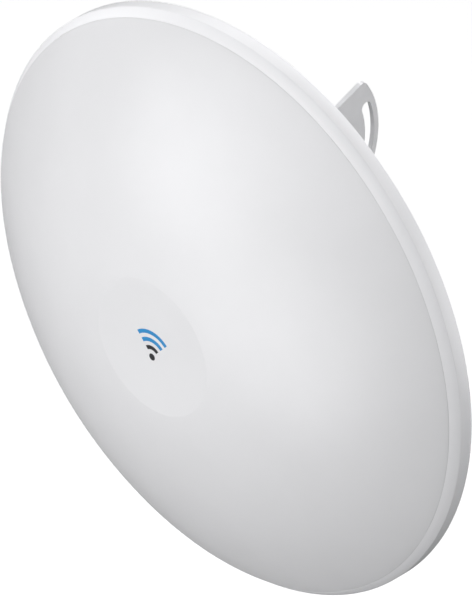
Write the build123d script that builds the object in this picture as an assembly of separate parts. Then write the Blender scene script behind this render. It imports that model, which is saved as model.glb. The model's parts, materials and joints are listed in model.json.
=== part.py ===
from build123d import *
import os
from math import cos, hypot, radians, sin, sqrt, tan

# Outdoor wireless bridge: a 650 mm reflector under a domed radome, with its radio behind the hub and a
# bracket that tilts on a pole clamp. Millimetres.
# Everything is drawn in the dish's frame: origin at the centre of the dome's edge, the antenna looks
# along -Y, +Z is up. save() moves it to the part's frame, whose origin is the pole's axis at the middle
# of the clamp.

# ---- Rim and dome ----
RIM_R = 325.0
RIM_BACK_Y = 24.9
SLOPE_BACK_Y = 9.75
DOME_R = 316.9
APEX_R = 76.6
APEX_Y = -101.0
DOME_WALL = 3.0
SKIRT_WALL = 2.7
RING_LIP_GAP = 0.1
RING_SEAT_Y = 9.9
DOME_FLANGE_BACK_Y = 12.4
FLANGE_OUTER_R = 321.8
GASKET_INNER_R = 309.0

# ---- Reflector ----
SHEET = 2.0
HUB_R = 100.0
HUB_FRONT_Y = 114.0
HUB_BACK_Y = HUB_FRONT_Y + SHEET
APERTURE_R = 308.0
FLANGE_FRONT_Y = 13.4
FLANGE_BACK_Y = FLANGE_FRONT_Y + SHEET
HUB_HOLE_R = 20.0
PARABOLA_K = (HUB_FRONT_Y - FLANGE_FRONT_Y) / (APERTURE_R**2 - HUB_R**2)
PARABOLA_VERTEX_Y = HUB_FRONT_Y + PARABOLA_K * HUB_R**2
FOCUS_Y = PARABOLA_VERTEX_Y - 1 / (4 * PARABOLA_K)

# ---- Feed ----
TUBE_R = 17.0
TUBE_BORE_R = 15.0
TUBE_TIP_Y = -56.0
FEED_FLANGE_R = 40.0
FEED_FLANGE_Y = HUB_FRONT_Y - 5.0
FEED_SCREW_CIRCLE_R = 31.0
ORING_R = 24.0
ORING_WIRE_R = 0.78
PLUG_DEPTH = 14.0
SPLASH_R = 31.0
SPLASH_THICK = 3.0
SPLASH_Y = FOCUS_Y + 3.0

# ---- Tilt pivot, bracket ear and its slot ----
PIVOT_Y = 182.8
PIVOT_Z = 48.5
EAR_X = -64.0
EAR_PLATE = 5.5
EAR_R = 107.0
SLOT_R = 94.1
SLOT_WIDTH = 13.0
SLOT_TOP_ANGLE = 18.2
SLOT_LOW_ANGLE = -48.0
EAR_TOP_ANGLE = 36.1
EAR_LOW_ANGLE = -58.0
EAR_TOP_SLOPE = 20.6
EAR_CORNER_R = 8.0
EAR_FOOT_Z = -60.0
BEND_INNER_R = 3.0
LOCK_ANGLE = -25.0
EAR_BOLT_FIT = 0.07
WEB_BOLT_FIT = 0.05

# ---- Bracket base on the hub ----
BASE_BACK_Y = HUB_BACK_Y + EAR_PLATE
BASE_RIGHT_X = 68.0
BASE_HALF_Z = 72.0
BASE_CORNER_R = 10.0
HUB_BOLT_X = 50.0
HUB_BOLT_Z = 58.0
HUB_BOLT_FIT = 0.3
WINDOW_GAP = 2.0
WINDOW_LOW_Z = -68.0
GROUND_X = 58.0
GROUND_Z = -30.0

# ---- Radio housing ----
HOUSING_HALF_X = 38.0
HOUSING_TOP_Z = 50.0
HOUSING_LOW_Z = -60.0
HOUSING_BACK_Y = 146.0
HOUSING_WALL = 2.5
HOUSING_FRONT_WALL = 3.0
HOUSING_FLOOR_Y = HUB_BACK_Y + HOUSING_FRONT_WALL
HOUSING_INNER_X = HOUSING_HALF_X - HOUSING_WALL
HOUSING_CORNER_R = 6.0
BAY_CORNER_R = 3.5
SHELF_Z = -28.0
SHELF_THICK = 2.5
LID_FRONT_Y = 146.8
LID_BACK_Y = 150.8
LID_FACE_Y = LID_BACK_Y - 1.5
LID_LOW_Z = SHELF_Z - SHELF_THICK + 1.0
LID_LIP_CLEAR = 0.3
LID_LIP_WALL = 1.5
EDGE_CHAMFER = 0.8
RIB_COUNT = 9
RIB_PITCH = 5.2
RIB_HALF = 0.9
COVER_SCREW_X = 33.0
COVER_SCREW_Z = (45.0, -22.0)
COVER_BOSS_R = 4.0
COVER_PILOT_R = 1.6

# ---- Board and what stands on it ----
BOARD_Y = 128.0
BOARD_BACK_Y = BOARD_Y + 1.6
BOARD_HALF_X = 28.5
BOARD_TOP_Z = 44.0
STANDOFF_X = 25.0
STANDOFF_Z = (-4.0, 38.0)
STANDOFF_R = 3.0
CHIP_BACK_Y = 131.0
CHIPS = ((-18.0, 20.0, 9.0), (16.0, 24.0, 11.0), (20.0, 2.0, 6.0), (-20.0, 2.0, 5.0))
SHIELD_WALL = 0.5
LAMP_COUNT = 4
LAMP_PITCH = 7.0
LAMP_Z = 40.0
LAMP_R = 1.25
JACK_X = -10.0
JACK_BACK_Y = 143.0
JACK_HALF_X = 8.0
NOSE_HALF_X = 7.2
PLUG_HALF_X = 5.95
BUTTON_X = 14.0
BUTTON_Y = 136.0
BUTTON_R = 1.85

# ---- Cable bay, its door and latch ----
CABLE_X = -10.0
CABLE_Y = 134.0
CABLE_R = 3.5
CABLE_HOLE_R = 6.0
VENT_X = 20.0
VENT_R = 3.1
DOOR_PIN_Y = 149.0
DOOR_PIN_Z = -62.5
DOOR_PIN_R = 1.5
DOOR_LUG_R = 2.6
DOOR_LUG_X = 29.0
DOOR_LUG_HALF = 4.0
BARREL_HALF_X = 20.0
DOOR_CLEAR = 0.4
DOOR_TOP_Z = SHELF_Z - SHELF_THICK + 0.6
DOOR_FACE_Y = HOUSING_BACK_Y + DOOR_CLEAR
LATCH_TRAVEL = 2.5
LATCH_CLEAR = 0.3
PAD_HALF_X = 7.1
PAD_TOP_Z = DOOR_TOP_Z - 1.5
PAD_LOW_Z = DOOR_TOP_Z - 9.0
PAD_FRONT_Y = LID_BACK_Y - 1.6
NECK_HALF_X = 4.0
NECK_LOW_Z = DOOR_TOP_Z - 7.5
KEEPER_HALF_X = 6.0
KEEPER_FRONT_Y = LID_FRONT_Y + 0.2
KEEPER_BACK_Y = LID_FRONT_Y + 1.0
TONGUE_REACH = 1.8

# ---- Pole bracket and clamp ----
POLE_R = 25.0
POLE_X = -24.0
POLE_Y = 221.0
CLAMP_Z = -125.0
WEB_PLATE = 5.0
WEB_X = EAR_X - EAR_PLATE - 0.3
FLANGE_Y = 186.0
FLANGE_HALF_Z = 42.0
FLANGE_RIGHT_X = 23.0
FLANGE_CORNER_R = 8.0
JAW_HALF_X = 41.5
JAW_HALF_Z = 35.0
JAW_ARC_HALF_ANGLE = 50.0
FIXED_JAW_DEPTH = 30.0
MOVING_JAW_DEPTH = 33.0
JAW_SHOULDER = 9.0
POCKET_HEIGHT = 6.0
POCKET_PITCH = 9.0
CLAMP_BOLT_X = 33.0
CLAMP_BOLT_Z = 22.0
CLAMP_BOLT_TIP_Y = 282.0
SQUARE_HOLE_HALF = 4.15

# ---- Fasteners: shank radius, width across flats or head radius, head and nut heights ----
RIM_SCREW_COUNT = 12
RIM_SCREW_CIRCLE_R = 319.2
RIM_SCREW_R = 1.65
RIM_PILOT_R = 1.7
RIM_HOLE_R = 2.1
RIM_SCREW_TIP_Y = 6.0
RIM_HEAD_R = 2.9
RIM_HEAD = 2.2
M4_R = 1.95
M4_HOLE_R = 2.2
M4_HEAD_R = 3.5
M4_HEAD = 4.0
M4_LENGTH = 16.0
M5_R = 2.45
M5_ACROSS = 8.0
M5_HEAD = 2.4
M5_WASHER_R = 6.0
M8_R = 4.0
M8_ACROSS = 13.0
M8_NUT = 6.5
M8_WASHER_R = 8.5
M8_DOME_R = 8.5
M10_R = 5.0
M10_ACROSS = 17.0
M10_HEAD = 6.4
M10_NUT = 8.4
M10_WASHER_R = 10.0
M10_WASHER = 2.0
M10_TAIL = 14.0
WASHER = 1.6

# A small gap between neighbouring pieces that are assembled but not fused
SEAT = 0.05
# How far a cutting tool runs past the face it leaves
PAST = 1.0


def save(name, *solids):
    """Write one node, moved from the dish's frame to the pole clamp's."""
    placed = [Pos(-POLE_X, -POLE_Y, -CLAMP_Z) * solid for solid in solids]
    shape = placed[0] if len(placed) == 1 else Compound(children=placed)
    export_step(shape, f"parts/{name}.step")


def rod(axis, radius, start, end, side, height):
    """A round bar along X, Y or Z; side and height are its other two coordinates in X, Y, Z order."""
    middle, length = (start + end) / 2, end - start
    bar = Cylinder(radius, length)
    if axis == "x":
        return Pos(middle, side, height) * Rot(0, 90, 0) * bar
    if axis == "y":
        return Pos(side, middle, height) * Rot(-90, 0, 0) * bar
    return Pos(side, height, middle) * bar


def hexagon(axis, across_flats, start, end, side, height):
    """A hexagonal bar along X or Y with its corners taken off as on a turned nut."""
    middle, length = (start + end) / 2, end - start
    bar = extrude(RegularPolygon(across_flats / 2, 6, major_radius=False), length / 2, both=True)
    blank = Cylinder(across_flats / 2 / cos(radians(30)), length)
    bar = bar & chamfer(blank.edges().filter_by(GeomType.CIRCLE), 0.06 * across_flats)
    if axis == "x":
        return Pos(middle, side, height) * Rot(0, 90, 0) * bar
    return Pos(side, middle, height) * Rot(-90, 0, 0) * bar


def block(x0, x1, y0, y1, z0, z1, corner=0.0, along=Axis.Y):
    """A box between two corners, with its edges along one axis rounded if asked."""
    box = Pos((x0 + x1) / 2, (y0 + y1) / 2, (z0 + z1) / 2) * Box(x1 - x0, y1 - y0, z1 - z0)
    return fillet(box.edges().filter_by(along), corner) if corner else box


def turned(*edges):
    """A solid of revolution about the boresight from a closed profile; profile X is the radius."""
    return revolve(make_face([edge for line in edges for edge in line.edges()]), Axis.Y)


def ring_y(inner, outer, y0, y1):
    """A flat ring about the boresight."""
    return turned(Polyline((inner, y0), (outer, y0), (outer, y1), (inner, y1), close=True))


def round_end(bar, axis, radius, last):
    """Rounds the first or last circular edge of a bar along its axis."""
    ends = bar.edges().filter_by(GeomType.CIRCLE).sort_by(axis)
    return fillet(ends[-1] if last else ends[0], radius)


def around(count, radius, first_angle=0.0):
    """Points (x, z) evenly spaced on a circle about the boresight."""
    angles = [radians(first_angle + 360 * i / count) for i in range(count)]
    return [(radius * cos(a), radius * sin(a)) for a in angles]


def corners(half_x, half_z):
    return [(sx * half_x, sz * half_z) for sx in (-1, 1) for sz in (-1, 1)]


def holes_y(radius, y0, y1, points):
    """Round cutters along Y at each (x, z) point."""
    return [rod("y", radius, y0, y1, x, z) for x, z in points]


RIM_POINTS = around(RIM_SCREW_COUNT, RIM_SCREW_CIRCLE_R, 15)
FEED_POINTS = around(4, FEED_SCREW_CIRCLE_R, 45)
HUB_POINTS = corners(HUB_BOLT_X, HUB_BOLT_Z)
COVER_POINTS = [(x, z) for x in (-COVER_SCREW_X, COVER_SCREW_X) for z in COVER_SCREW_Z]
BOARD_POINTS = [(x, z) for x in (-STANDOFF_X, STANDOFF_X) for z in STANDOFF_Z]
LAMP_POINTS = [((i - (LAMP_COUNT - 1) / 2) * LAMP_PITCH, LAMP_Z) for i in range(LAMP_COUNT)]
CLAMP_POINTS = [(POLE_X + x, CLAMP_Z + z) for x, z in corners(CLAMP_BOLT_X, CLAMP_BOLT_Z)]

# ---------------------------------------------------------------- radome and rim


def cap_arc(sphere_r, centre_y, r0, r1):
    """Arc of a sphere on the boresight, bulging forward, from radius r0 to radius r1."""
    points = [(r, centre_y - sqrt(sphere_r**2 - r**2)) for r in (r0, (r0 + r1) / 2, r1)]
    return ThreePointArc(*points)


def radome():
    """Spherical dome with a flat centre, ending in a short wall and a flange under the ring."""
    centre_y = (DOME_R**2 - APEX_R**2 - APEX_Y**2) / (-2 * APEX_Y)
    sphere_r = hypot(DOME_R, centre_y)
    inner_r = sphere_r - DOME_WALL
    wall_r = DOME_R - DOME_WALL
    apex_in_y = APEX_Y + DOME_WALL
    apex_in_r = sqrt(inner_r**2 - (centre_y - apex_in_y) ** 2)
    wall_in_y = centre_y - sqrt(inner_r**2 - wall_r**2)
    dome = cap_arc(sphere_r, centre_y, APEX_R, DOME_R)
    edge = Polyline(
        (DOME_R, 0),
        (DOME_R, RING_SEAT_Y + SEAT),
        (FLANGE_OUTER_R, RING_SEAT_Y + SEAT),
        (FLANGE_OUTER_R, DOME_FLANGE_BACK_Y),
        (wall_r, DOME_FLANGE_BACK_Y),
        (wall_r, wall_in_y),
    )
    inside = cap_arc(inner_r, centre_y, wall_r, apex_in_r)
    centre = Polyline((apex_in_r, apex_in_y), (0, apex_in_y), (0, APEX_Y), (APEX_R, APEX_Y))
    shell = turned(dome, edge, inside, centre)
    return shell - holes_y(RIM_HOLE_R, RING_SEAT_Y - PAST, DOME_FLANGE_BACK_Y + PAST, RIM_POINTS)


def retaining_ring():
    """Sloped nose and round skirt; the rim screws are tapped into the back of the nose."""
    lip_r = DOME_R + RING_LIP_GAP
    profile = Polyline(
        (lip_r, RING_LIP_GAP),
        (RIM_R, SLOPE_BACK_Y),
        (RIM_R, RIM_BACK_Y),
        (RIM_R - SKIRT_WALL, RIM_BACK_Y),
        (RIM_R - SKIRT_WALL, RING_SEAT_Y),
        (lip_r, RING_SEAT_Y),
        close=True,
    )
    return turned(profile) - holes_y(RIM_PILOT_R, RIM_SCREW_TIP_Y - 0.6, RING_SEAT_Y + PAST, RIM_POINTS)


def rim_gasket():
    y0, y1 = DOME_FLANGE_BACK_Y + SEAT / 2, FLANGE_FRONT_Y - SEAT / 2
    gasket = ring_y(GASKET_INNER_R, FLANGE_OUTER_R, y0, y1)
    return gasket - holes_y(RIM_HOLE_R, y0 - PAST, y1 + PAST, RIM_POINTS)


def rim_screw(x, z):
    """Button-head screw driven forward from behind the reflector's flange."""
    shank = rod("y", RIM_SCREW_R, RIM_SCREW_TIP_Y, FLANGE_BACK_Y + PAST, x, z)
    head = rod("y", RIM_HEAD_R, FLANGE_BACK_Y, FLANGE_BACK_Y + RIM_HEAD, x, z)
    head = round_end(head, Axis.Y, 1.2, last=True)
    socket = hexagon("y", 2.5, FLANGE_BACK_Y + 1, FLANGE_BACK_Y + 3, x, z)
    return shank + head - socket


# ---------------------------------------------------------------- reflector and feed


def parabola_curve(r0, r1, shift):
    """The reflecting curve from r0 to r1, moved back by shift."""
    steps = 6
    radii = [r0 + (r1 - r0) * i / steps for i in range(steps + 1)]
    points = [(r, PARABOLA_VERTEX_Y - PARABOLA_K * r**2 + shift) for r in radii]
    way = 1 if r1 > r0 else -1
    tangents = [(way, way * -2 * PARABOLA_K * r) for r in (r0, r1)]
    return Spline(points, tangents=tangents)


def reflector():
    """Pressed parabolic sheet with a flat hub, a flat rim flange and the bolt holes."""
    front_curve = parabola_curve(HUB_R, APERTURE_R, 0)
    rim = Polyline(
        (APERTURE_R, FLANGE_FRONT_Y),
        (FLANGE_OUTER_R, FLANGE_FRONT_Y),
        (FLANGE_OUTER_R, FLANGE_BACK_Y),
        (APERTURE_R, FLANGE_BACK_Y),
    )
    back_curve = parabola_curve(APERTURE_R, HUB_R, SHEET)
    hub = Polyline(
        (HUB_R, HUB_BACK_Y),
        (HUB_HOLE_R, HUB_BACK_Y),
        (HUB_HOLE_R, HUB_FRONT_Y),
        (HUB_R, HUB_FRONT_Y),
    )
    dish = turned(front_curve, rim, back_curve, hub)
    hub_y = (HUB_FRONT_Y - PAST, HUB_BACK_Y + PAST)
    dish -= holes_y(RIM_HOLE_R, FLANGE_FRONT_Y - PAST, FLANGE_BACK_Y + PAST, RIM_POINTS)
    dish -= holes_y(M8_R + HUB_BOLT_FIT, *hub_y, HUB_POINTS)
    return dish - holes_y(M4_HOLE_R, *hub_y, FEED_POINTS)


def feed_tube():
    """Round waveguide with its bolting flange; a groove in the flange's back holds the O-ring."""
    tube = ring_y(TUBE_BORE_R, TUBE_R, TUBE_TIP_Y, HUB_FRONT_Y)
    flange = ring_y(TUBE_BORE_R, FEED_FLANGE_R, FEED_FLANGE_Y, HUB_FRONT_Y)
    flange = fillet(flange.edges().filter_by(GeomType.CIRCLE).sort_by(Axis.Y)[1], 1.5)
    groove = ring_y(ORING_R - 1.5, ORING_R + 1.5, HUB_FRONT_Y - 1.7, HUB_FRONT_Y + PAST)
    holes = holes_y(M4_HOLE_R, FEED_FLANGE_Y - PAST, HUB_FRONT_Y + PAST, FEED_POINTS)
    return tube + flange - groove - holes


def feed_oring():
    return revolve(Pos(ORING_R, HUB_FRONT_Y - ORING_WIRE_R - SEAT) * Circle(ORING_WIRE_R), Axis.Y)


def feed_screw(x, z):
    """Socket-head screw through the feed flange and the hub into the housing."""
    shank = rod("y", M4_R, FEED_FLANGE_Y - PAST, HUB_BACK_Y + 4.5, x, z)
    head = rod("y", M4_HEAD_R, FEED_FLANGE_Y - M4_HEAD, FEED_FLANGE_Y, x, z)
    socket = hexagon("y", 3, FEED_FLANGE_Y - M4_HEAD - PAST, FEED_FLANGE_Y - M4_HEAD / 2, x, z)
    return head + shank - socket


def feed_cone():
    """Dielectric plug in the tube's mouth, flared out to carry the splash plate."""
    plug_r = TUBE_BORE_R - SEAT
    mouth_y = TUBE_TIP_Y - SEAT
    profile = Polyline(
        (0, TUBE_TIP_Y + PLUG_DEPTH + 12),
        (5, TUBE_TIP_Y + PLUG_DEPTH + 4),
        (plug_r, TUBE_TIP_Y + PLUG_DEPTH),
        (plug_r, mouth_y),
        (TUBE_R, mouth_y),
        (SPLASH_R - 1, SPLASH_Y + 6),
        (SPLASH_R - 1, SPLASH_Y),
        (0, SPLASH_Y),
        close=True,
    )
    return turned(profile)


def subreflector():
    """Splash plate at the focus, with a shallow lip over the cone's end."""
    face_y = SPLASH_Y - SEAT
    plate = ring_y(0, SPLASH_R, face_y - SPLASH_THICK, face_y)
    lip = ring_y(SPLASH_R - 1 + SEAT, SPLASH_R, face_y - 1, face_y + 3)
    return plate + lip


# ---------------------------------------------------------------- radio housing


def door_lug(x):
    """One hinge lug of the housing, with its arm and the bore for the pin."""
    x0, x1 = x - DOOR_LUG_HALF, x + DOOR_LUG_HALF
    low_z = DOOR_PIN_Z - DOOR_LUG_R
    foot = block(x0, x1, HOUSING_BACK_Y - 8, HOUSING_BACK_Y - 2, low_z, HOUSING_LOW_Z + 0.5)
    arm = block(x0, x1, HOUSING_BACK_Y - 8, DOOR_PIN_Y, low_z, HOUSING_LOW_Z)
    return rod("x", DOOR_LUG_R, x0, x1, DOOR_PIN_Y, DOOR_PIN_Z) + foot + arm


def housing_base():
    """Deep tray behind the hub, divided by a shelf into the radio bay and the cable bay."""
    outer_z = (HOUSING_LOW_Z, HOUSING_TOP_Z)
    body = block(-HOUSING_HALF_X, HOUSING_HALF_X, HUB_BACK_Y, HOUSING_BACK_Y, *outer_z, HOUSING_CORNER_R)
    radio_bay = (SHELF_Z, HOUSING_TOP_Z - HOUSING_WALL)
    cable_bay = (HOUSING_LOW_Z + HOUSING_WALL, SHELF_Z - SHELF_THICK)
    for z0, z1 in (radio_bay, cable_bay):
        open_y = HOUSING_BACK_Y + PAST
        body -= block(-HOUSING_INNER_X, HOUSING_INNER_X, HOUSING_FLOOR_Y, open_y, z0, z1, BAY_CORNER_R)
    for x, z in COVER_POINTS:
        body += rod("y", COVER_BOSS_R, HOUSING_FLOOR_Y - PAST, HOUSING_BACK_Y, x, z)
        body -= rod("y", COVER_PILOT_R, HOUSING_BACK_Y - 12, HOUSING_BACK_Y + PAST, x, z)
    for x, z in FEED_POINTS:
        body += rod("y", M4_HEAD_R + 0.5, HOUSING_FLOOR_Y - PAST, HOUSING_FLOOR_Y + 3.5, x, z)
        body -= rod("y", M4_R + SEAT, HUB_BACK_Y - PAST, HOUSING_FLOOR_Y + 3, x, z)
    for x, z in BOARD_POINTS:
        body += rod("y", STANDOFF_R, HOUSING_FLOOR_Y - PAST, BOARD_Y - SEAT, x, z)
    body -= rod("y", TUBE_BORE_R, HUB_BACK_Y - PAST, HOUSING_FLOOR_Y + PAST, 0, 0)
    shelf = (SHELF_Z - SHELF_THICK - PAST, SHELF_Z + PAST)
    nose_x = NOSE_HALF_X + 0.2
    body -= block(JACK_X - nose_x, JACK_X + nose_x, BOARD_BACK_Y + 0.3, JACK_BACK_Y - 0.4, *shelf)
    body -= rod("z", BUTTON_R + 0.1, *shelf, BUTTON_X, BUTTON_Y)
    floor = (HOUSING_LOW_Z - PAST, HOUSING_LOW_Z + HOUSING_WALL + PAST)
    body -= rod("z", CABLE_HOLE_R, *floor, CABLE_X, CABLE_Y)
    body -= rod("z", VENT_R + 0.1, *floor, VENT_X, CABLE_Y)
    for x in (-DOOR_LUG_X, DOOR_LUG_X):
        body += door_lug(x)
        x0, x1 = x - DOOR_LUG_HALF - PAST, x + DOOR_LUG_HALF + PAST
        body -= rod("x", DOOR_PIN_R + 0.02, x0, x1, DOOR_PIN_Y, DOOR_PIN_Z)
    return body


def rear_cover():
    """Lid of the radio bay, with cooling ribs, a row of lamp holes and a notch for the latch."""
    lid = block(-HOUSING_HALF_X, HOUSING_HALF_X, LID_FRONT_Y, LID_FACE_Y, LID_LOW_Z, HOUSING_TOP_Z)
    upper = [e for e in lid.edges().filter_by(Axis.Y) if e.center().Z > 0]
    lid = fillet(upper, HOUSING_CORNER_R)
    lid = chamfer(lid.faces().sort_by(Axis.Y)[-1].outer_wire().edges(), EDGE_CHAMFER)
    for i in range(RIB_COUNT):
        x = (i - (RIB_COUNT - 1) / 2) * RIB_PITCH
        lid += block(x - RIB_HALF, x + RIB_HALF, LID_FACE_Y - 0.1, LID_BACK_Y, -12, 32)
    lip_x = HOUSING_INNER_X - LID_LIP_CLEAR
    lip_z = (SHELF_Z + LID_LIP_CLEAR, HOUSING_TOP_Z - HOUSING_WALL - LID_LIP_CLEAR)
    hollow_x = lip_x - LID_LIP_WALL
    lip = block(-lip_x, lip_x, HOUSING_BACK_Y - 2, LID_FRONT_Y + 0.1, *lip_z, 3.2)
    hollow_z = (lip_z[0] + LID_LIP_WALL, lip_z[1] - LID_LIP_WALL)
    lip -= block(-hollow_x, hollow_x, HOUSING_BACK_Y - 3, LID_BACK_Y, *hollow_z, 2)
    lid += lip
    through = (HOUSING_BACK_Y - 3, LID_BACK_Y + PAST)
    lid -= holes_y(COVER_BOSS_R + 0.2, through[0], LID_FRONT_Y, COVER_POINTS)
    lid -= holes_y(COVER_PILOT_R + 0.3, *through, COVER_POINTS)
    lid -= holes_y(LAMP_R + SEAT, *through, LAMP_POINTS)
    notch_x = NECK_HALF_X + LATCH_CLEAR
    notch_z = (LID_LOW_Z - PAST, LID_LOW_Z + 2.4)
    return lid - block(-notch_x, notch_x, through[0], KEEPER_BACK_Y + LATCH_CLEAR, *notch_z)


def cover_screw(x, z):
    """Pan-head screw with a cross recess."""
    head_y = LID_FACE_Y + 1.9
    head = round_end(rod("y", 3.2, LID_FACE_Y, head_y, x, z), Axis.Y, 1.0, last=True)
    shank = rod("y", COVER_PILOT_R - SEAT, HOUSING_BACK_Y - 10, LID_FACE_Y + 0.5, x, z)
    cross = [
        block(x - long, x + long, head_y - 1, head_y + PAST, z - high, z + high)
        for long, high in ((1.8, 0.4), (0.4, 1.8))
    ]
    return head + shank - cross


def cover_seal():
    """Soft frame squeezed between the tray's rim and the lid, outside the lid's lip."""
    outer_x = HOUSING_HALF_X - 0.4
    inner_x = HOUSING_INNER_X - SEAT
    y0, y1 = HOUSING_BACK_Y + SEAT, LID_FRONT_Y - SEAT
    seal = block(-outer_x, outer_x, y0, y1, SHELF_Z - 1.3, HOUSING_TOP_Z - 0.4, 5)
    top_z = HOUSING_TOP_Z - HOUSING_WALL - SEAT
    seal -= block(-inner_x, inner_x, y0 - PAST, y1 + PAST, SHELF_Z + SEAT, top_z, BAY_CORNER_R)
    notch_x = NECK_HALF_X + 2 * LATCH_CLEAR
    return seal - block(-notch_x, notch_x, y0 - PAST, y1 + PAST, SHELF_Z - 3, SHELF_Z - 0.6)


# ---------------------------------------------------------------- board and its parts


def radio_board():
    board = block(-BOARD_HALF_X, BOARD_HALF_X, BOARD_Y, BOARD_BACK_Y, SHELF_Z + 1, BOARD_TOP_Z)
    board -= holes_y(COVER_PILOT_R, BOARD_Y - PAST, BOARD_BACK_Y + PAST, BOARD_POINTS)
    for x, z, side in CHIPS:
        half = side / 2
        board += block(x - half, x + half, BOARD_BACK_Y, CHIP_BACK_Y, z - half, z + half)
    return board


def rf_shield():
    """Folded can over the radio front end, on the board's dish side."""
    can = block(-22, 22, BOARD_Y - 4.5, BOARD_Y - SEAT, -18, 26)
    inner_x = 22 - SHIELD_WALL
    inner_z = (-18 + SHIELD_WALL, 26 - SHIELD_WALL)
    can -= block(-inner_x, inner_x, BOARD_Y - 4.5 + SHIELD_WALL, BOARD_Y + PAST, *inner_z)
    return can - rod("y", 8, BOARD_Y - 6, BOARD_Y, 0, 0)


def waveguide_launcher():
    """Probe block that stands on the board and closes the feed tube's end."""
    plug = rod("y", TUBE_BORE_R - 0.1, HUB_BACK_Y - 10, HOUSING_FLOOR_Y + 2, 0, 0)
    stem = rod("y", 7.5, HOUSING_FLOOR_Y, BOARD_Y - SEAT, 0, 0)
    probe = rod("y", 1.2, HUB_BACK_Y - 20, HUB_BACK_Y - 8, 0, 0)
    return plug + stem + probe


def thermal_pad():
    """Soft block that carries the processor's heat to the ribbed lid."""
    x, z, side = CHIPS[1]
    half = side / 2 - 0.1
    return block(x - half, x + half, CHIP_BACK_Y + SEAT, LID_FRONT_Y - SEAT, z - half, z + half)


def ethernet_jack():
    """Shielded socket that opens downwards into the cable bay."""
    y0 = BOARD_BACK_Y + SEAT
    body_z = (SHELF_Z + 1 + SEAT, SHELF_Z + 20)
    nose_z = (SHELF_Z - 1.4, SHELF_Z + 2)
    jack = block(JACK_X - JACK_HALF_X, JACK_X + JACK_HALF_X, y0, JACK_BACK_Y, *body_z)
    nose = block(JACK_X - NOSE_HALF_X, JACK_X + NOSE_HALF_X, y0 + 0.5, JACK_BACK_Y - 0.6, *nose_z)
    depth = (SHELF_Z - 3, SHELF_Z + 12)
    socket = block(JACK_X - PLUG_HALF_X, JACK_X + PLUG_HALF_X, y0 + 2.2, y0 + 10.2, *depth)
    key = block(JACK_X - 3.1, JACK_X + 3.1, y0 + 10, y0 + 11.8, *depth)
    return jack + nose - socket - key


def reset_switch():
    y0 = BOARD_BACK_Y + SEAT
    return block(BUTTON_X - 3, BUTTON_X + 3, y0, y0 + 9, SHELF_Z + 4.2, SHELF_Z + 7.5)


def reset_button():
    """Plunger under the switch, reached through the shelf from the cable bay."""
    stem = rod("z", BUTTON_R, SHELF_Z - SHELF_THICK - 1.2, SHELF_Z + 3.2, BUTTON_X, BUTTON_Y)
    return stem + rod("z", 2.6, SHELF_Z + 0.4, SHELF_Z + 1.6, BUTTON_X, BUTTON_Y)


def light_pipe(x, z):
    return rod("y", LAMP_R, BOARD_BACK_Y + 1, LID_FACE_Y + 0.4, x, z)


# ---------------------------------------------------------------- cable bay and door


def breather_vent():
    """Snap-in cap whose membrane lets the housing breathe."""
    stem = rod("z", VENT_R, HOUSING_LOW_Z - 1, HOUSING_LOW_Z + HOUSING_WALL + 0.9, VENT_X, CABLE_Y)
    cap = rod("z", 6, HOUSING_LOW_Z - 3.5, HOUSING_LOW_Z - SEAT, VENT_X, CABLE_Y)
    return stem + round_end(cap, Axis.Z, 1, last=False)


def cable_grommet():
    """Soft bush in the housing's floor; the lead passes through its bore."""
    floor_z = HOUSING_LOW_Z + HOUSING_WALL + SEAT
    low_z = HOUSING_LOW_Z - 2
    body = rod("z", CABLE_HOLE_R - 0.1, low_z, floor_z + 1.5 - SEAT, CABLE_X, CABLE_Y)
    low = rod("z", CABLE_HOLE_R + 1.6, low_z, HOUSING_LOW_Z - SEAT, CABLE_X, CABLE_Y)
    high = rod("z", CABLE_HOLE_R + 1.2, floor_z, floor_z + 1.5, CABLE_X, CABLE_Y)
    return body + low + high - rod("z", CABLE_R, low_z - PAST, floor_z + 3, CABLE_X, CABLE_Y)


def port_door():
    """Flap over the cable bay: panel, hinge barrel and the latch's stepped slot."""
    low_z = HOUSING_LOW_Z + DOOR_CLEAR
    panel = block(-HOUSING_HALF_X, HOUSING_HALF_X, DOOR_FACE_Y, LID_BACK_Y, low_z, DOOR_TOP_Z)
    panel = chamfer(panel.faces().sort_by(Axis.Y)[-1].outer_wire().edges(), EDGE_CHAMFER)
    arm_y = (DOOR_FACE_Y + 0.6, LID_BACK_Y - EDGE_CHAMFER)
    arm = block(-BARREL_HALF_X, BARREL_HALF_X, *arm_y, DOOR_PIN_Z, low_z + 1)
    barrel = rod("x", DOOR_LUG_R, -BARREL_HALF_X, BARREL_HALF_X, DOOR_PIN_Y, DOOR_PIN_Z)
    bore_x = BARREL_HALF_X + PAST
    bore = rod("x", DOOR_PIN_R + SEAT, -bore_x, bore_x, DOOR_PIN_Y, DOOR_PIN_Z)
    door = panel + arm + barrel - bore
    lowest = LATCH_TRAVEL + LATCH_CLEAR
    pad_x, neck_x, keeper_x = (x + LATCH_CLEAR for x in (PAD_HALF_X, NECK_HALF_X, KEEPER_HALF_X))
    slot_top_z = DOOR_TOP_Z + PAST
    pad_z = (PAD_LOW_Z - lowest, PAD_TOP_Z + LATCH_CLEAR)
    door -= block(-pad_x, pad_x, PAD_FRONT_Y - 0.2, LID_BACK_Y + PAST, *pad_z)
    door -= block(-neck_x, neck_x, DOOR_FACE_Y - PAST, LID_BACK_Y - 1.7, NECK_LOW_Z - lowest, slot_top_z)
    keeper_y = (DOOR_FACE_Y - PAST, KEEPER_BACK_Y + 0.2)
    return door - block(-keeper_x, keeper_x, *keeper_y, NECK_LOW_Z - lowest, PAD_TOP_Z + LATCH_CLEAR)


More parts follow.
